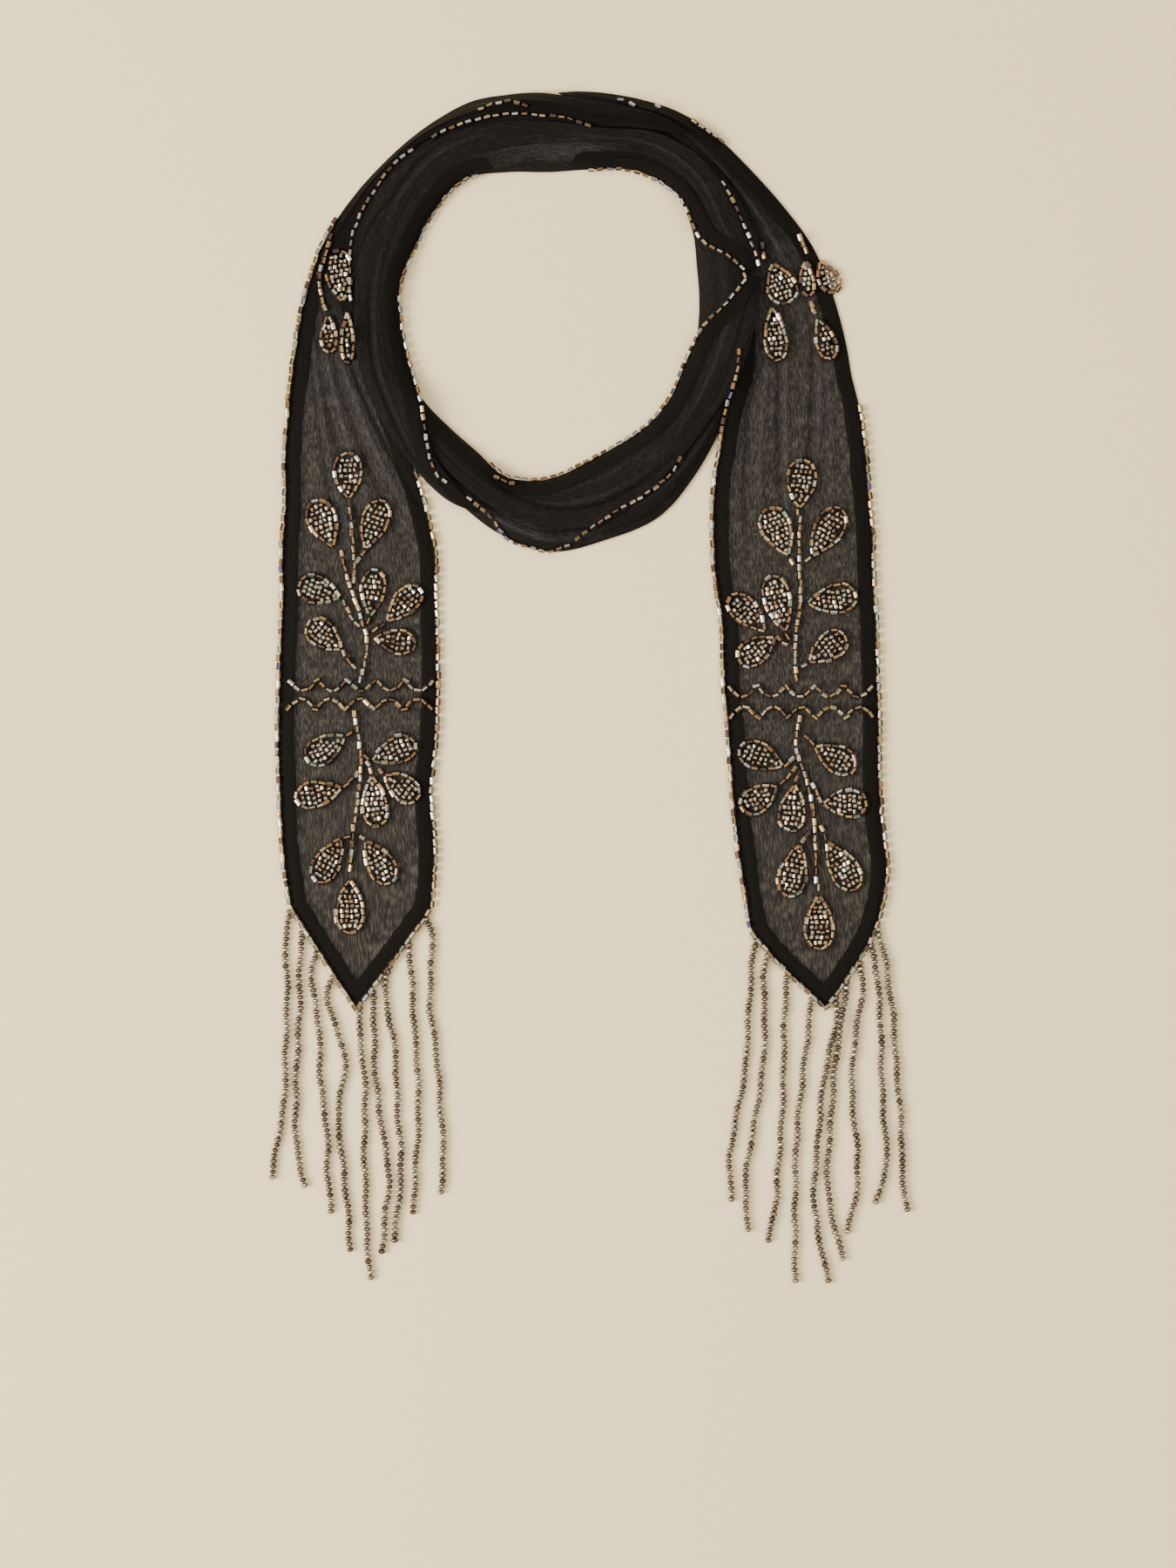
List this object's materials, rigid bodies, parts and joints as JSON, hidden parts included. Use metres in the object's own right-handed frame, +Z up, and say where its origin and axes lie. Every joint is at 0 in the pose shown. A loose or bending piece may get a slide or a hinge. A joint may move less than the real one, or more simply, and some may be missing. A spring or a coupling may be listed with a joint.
{
  "type": "skinny scarf",
  "caption": "Narrow black chiffon scarf with beaded edges, leaf sprays and fringed points, laid flat with its middle wound into a neck-size ring",
  "frame": {"origin": "the middle of the laid scarf's outline, on the surface that it lies on", "axes": "+X is to the right of the laid scarf, +Y goes up along it from the fringes to the ring, and +Z points up away from the surface"},
  "size_m": [0.2382, 0.438, 0.01],
  "materials": {
    "chiffon": "sheer crinkled black chiffon with a soft sheen and opaque turned hems",
    "hidden_chiffon": "several layers of black chiffon on each other",
    "cut_beads": "short cut glass tubes with metallic lining, silver, bronze and pale gold",
    "seed_beads": "small round glass beads, taupe and cream with a lustre"
  },
  "bodies": {
    "root": {"ring_core": "hidden_chiffon", "under_turn": "chiffon", "outer_turn": "chiffon", "lower_turn": "chiffon", "upper_turn": "chiffon", "left_end": "chiffon", "right_end": "chiffon", "left_shoulder_spray": "cut_beads", "right_shoulder_spray": "cut_beads", "left_upper_spray": "cut_beads", "left_lower_spray": "cut_beads", "right_upper_spray": "cut_beads", "right_lower_spray": "cut_beads", "left_upper_scallop": "cut_beads", "left_lower_scallop": "cut_beads", "right_upper_scallop": "cut_beads", "right_lower_scallop": "cut_beads", "left_fringe": "seed_beads", "right_fringe": "seed_beads"}
  },
  "joints": []
}
